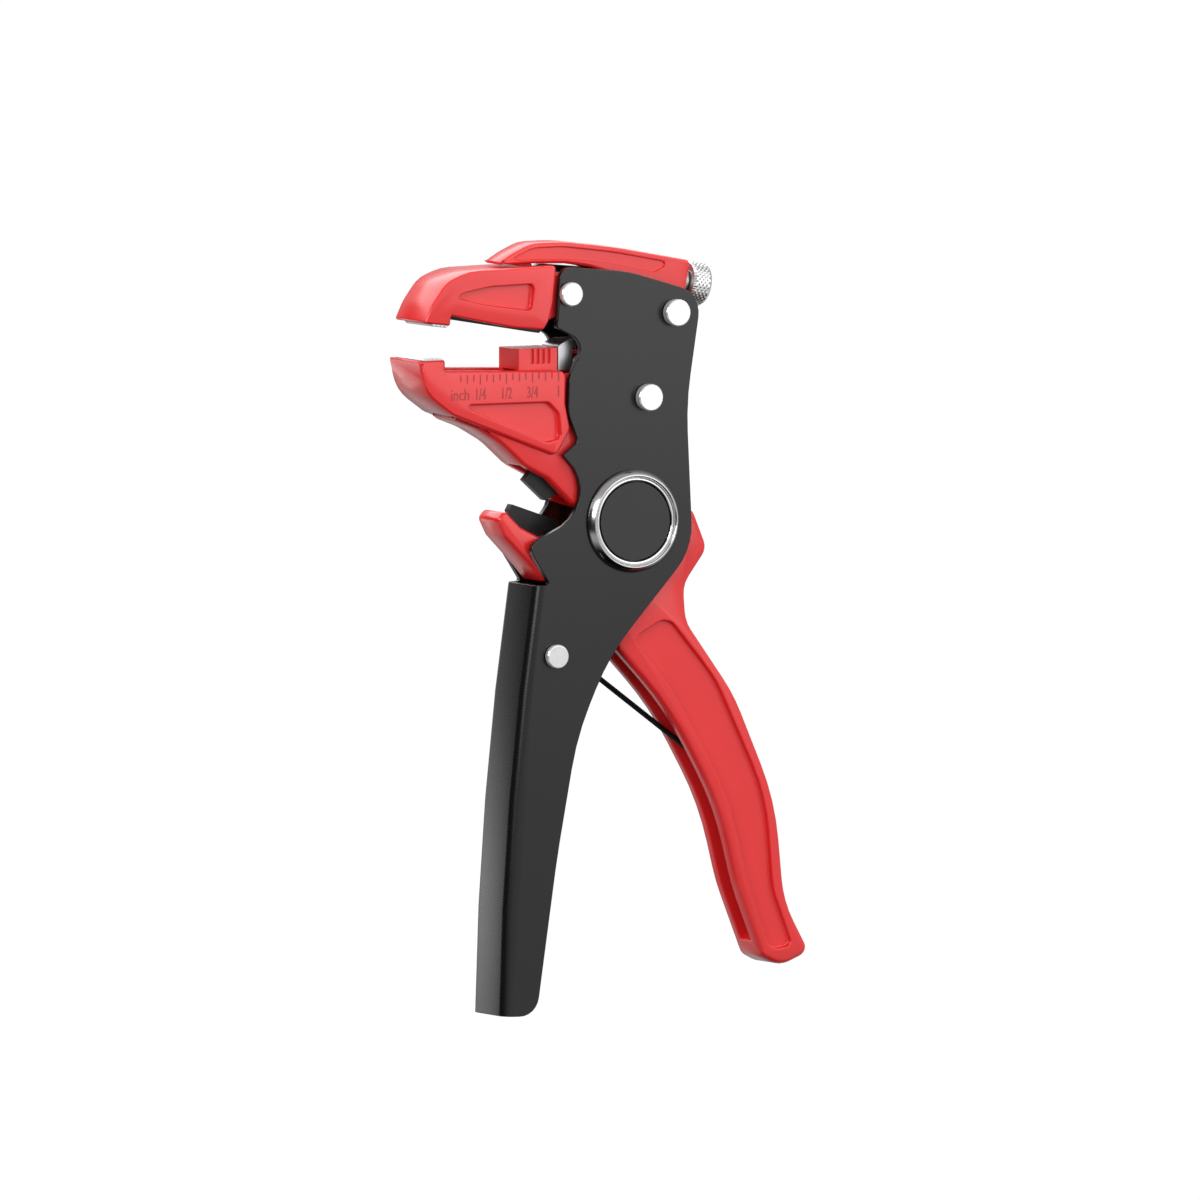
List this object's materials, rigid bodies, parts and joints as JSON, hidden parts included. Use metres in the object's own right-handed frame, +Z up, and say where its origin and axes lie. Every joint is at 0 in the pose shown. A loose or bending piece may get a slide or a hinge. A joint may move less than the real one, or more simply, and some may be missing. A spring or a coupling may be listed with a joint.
{
  "type": "duckbill wire stripper",
  "caption": "Pistol-grip automatic wire stripper: folded steel frame, closing upper jaw, ruled lower jaw with sliding stop, throat cutter and sprung moving handle.",
  "frame": {"origin": "centre of the main pivot, on the tool's middle plane", "axes": "+X from the jaw tips back to the adjusting knob, +Y through the tool away from the ruled side, +Z up the frame from the grip to the jaws"},
  "size_m": [0.0958, 0.0194, 0.167],
  "materials": {
    "sheet": "satin black",
    "red_moulding": "smooth, slightly glossy",
    "ground_steel": "ground",
    "blade_steel": "blackened, hardened",
    "rivet_chrome": "bright plated",
    "cap": "matt dark grey",
    "spring_steel": "black spring wire"
  },
  "bodies": {
    "frame": {"frame_body": "sheet", "lower_jaw": "red_moulding", "lower_grip_insert": "ground_steel", "fixed_cutter_blade": "blade_steel", "fixed_cutter_pin": "ground_steel", "main_pivot_axle": "ground_steel", "pivot_ring_near": "rivet_chrome", "pivot_ring_far": "rivet_chrome", "pivot_cap_near": "cap", "pivot_cap_far": "cap", "jaw_rivet": "rivet_chrome", "lever_rivet": "rivet_chrome", "stop_rivet": "rivet_chrome", "spring_rivet": "rivet_chrome", "spring_sleeve": "ground_steel"},
    "handle": {"moving_handle": "red_moulding", "moving_cutter_blade": "blade_steel", "moving_cutter_pin": "ground_steel", "yoke_pin": "ground_steel"},
    "upper_jaw": {"upper_jaw": "red_moulding", "upper_grip_insert": "ground_steel"},
    "upper_blade": {"upper_blade_bar": "blade_steel"},
    "lower_blade": {"lower_blade_bar": "blade_steel", "draw_yoke": "ground_steel"},
    "lever": {"top_lever": "red_moulding"},
    "adjuster": {"adjusting_knob": "rivet_chrome", "adjusting_screw": "ground_steel", "knob_collar": "rivet_chrome"},
    "stop": {"strip_stop": "red_moulding"},
    "spring": {"return_spring": "spring_steel"}
  },
  "joints": [
    {"name": "handle_pivot", "type": "hinge", "parent": "frame", "child": "handle", "pos_m": [0, 0, 0], "axis": [0, 1, 0], "range_deg": [0, 19], "stiffness_Nm_per_rad": 1.2, "springref_deg": -28.65},
    {"name": "jaw_pivot", "type": "hinge", "parent": "frame", "child": "upper_jaw", "pos_m": [-0.0154, 0, 0.0496], "axis": [0, -1, 0], "range_deg": [0, 11.4]},
    {"name": "upper_blade_slide", "type": "slide", "parent": "upper_jaw", "child": "upper_blade", "axis": [0.9857, 0, -0.1685], "range_m": [0, 0.008]},
    {"name": "lower_blade_slide", "type": "slide", "parent": "frame", "child": "lower_blade", "axis": [1, 0, 0], "range_m": [0, 0.0119]},
    {"name": "lever_pivot", "type": "hinge", "parent": "frame", "child": "lever", "pos_m": [0.0102, 0, 0.0448], "axis": [0, -1, 0], "range_deg": [0, 3.4]},
    {"name": "knob_turn", "type": "hinge", "parent": "lever", "child": "adjuster", "pos_m": [0.01885, 0, 0.0503], "axis": [0.9816, 0, -0.1908], "range_deg": [-180, 180]},
    {"name": "stop_slide", "type": "slide", "parent": "frame", "child": "stop", "axis": [-1, 0, 0], "range_m": [0, 0.0155]},
    {"name": "spring_turn", "type": "hinge", "parent": "frame", "child": "spring", "pos_m": [-0.0189, 0, -0.0286], "axis": [0, 1, 0], "range_deg": [0, 29]}
  ],
  "couplings": [
    {"joint": "jaw_pivot", "follows": "handle_pivot", "ratio": 0.6},
    {"joint": "upper_blade_slide", "follows": "handle_pivot", "m_per_rad": 0.02412},
    {"joint": "lower_blade_slide", "follows": "handle_pivot", "m_per_rad": 0.0354},
    {"joint": "lever_pivot", "follows": "handle_pivot", "ratio": 0.1789},
    {"joint": "spring_turn", "follows": "handle_pivot", "ratio": 1.5}
  ]
}
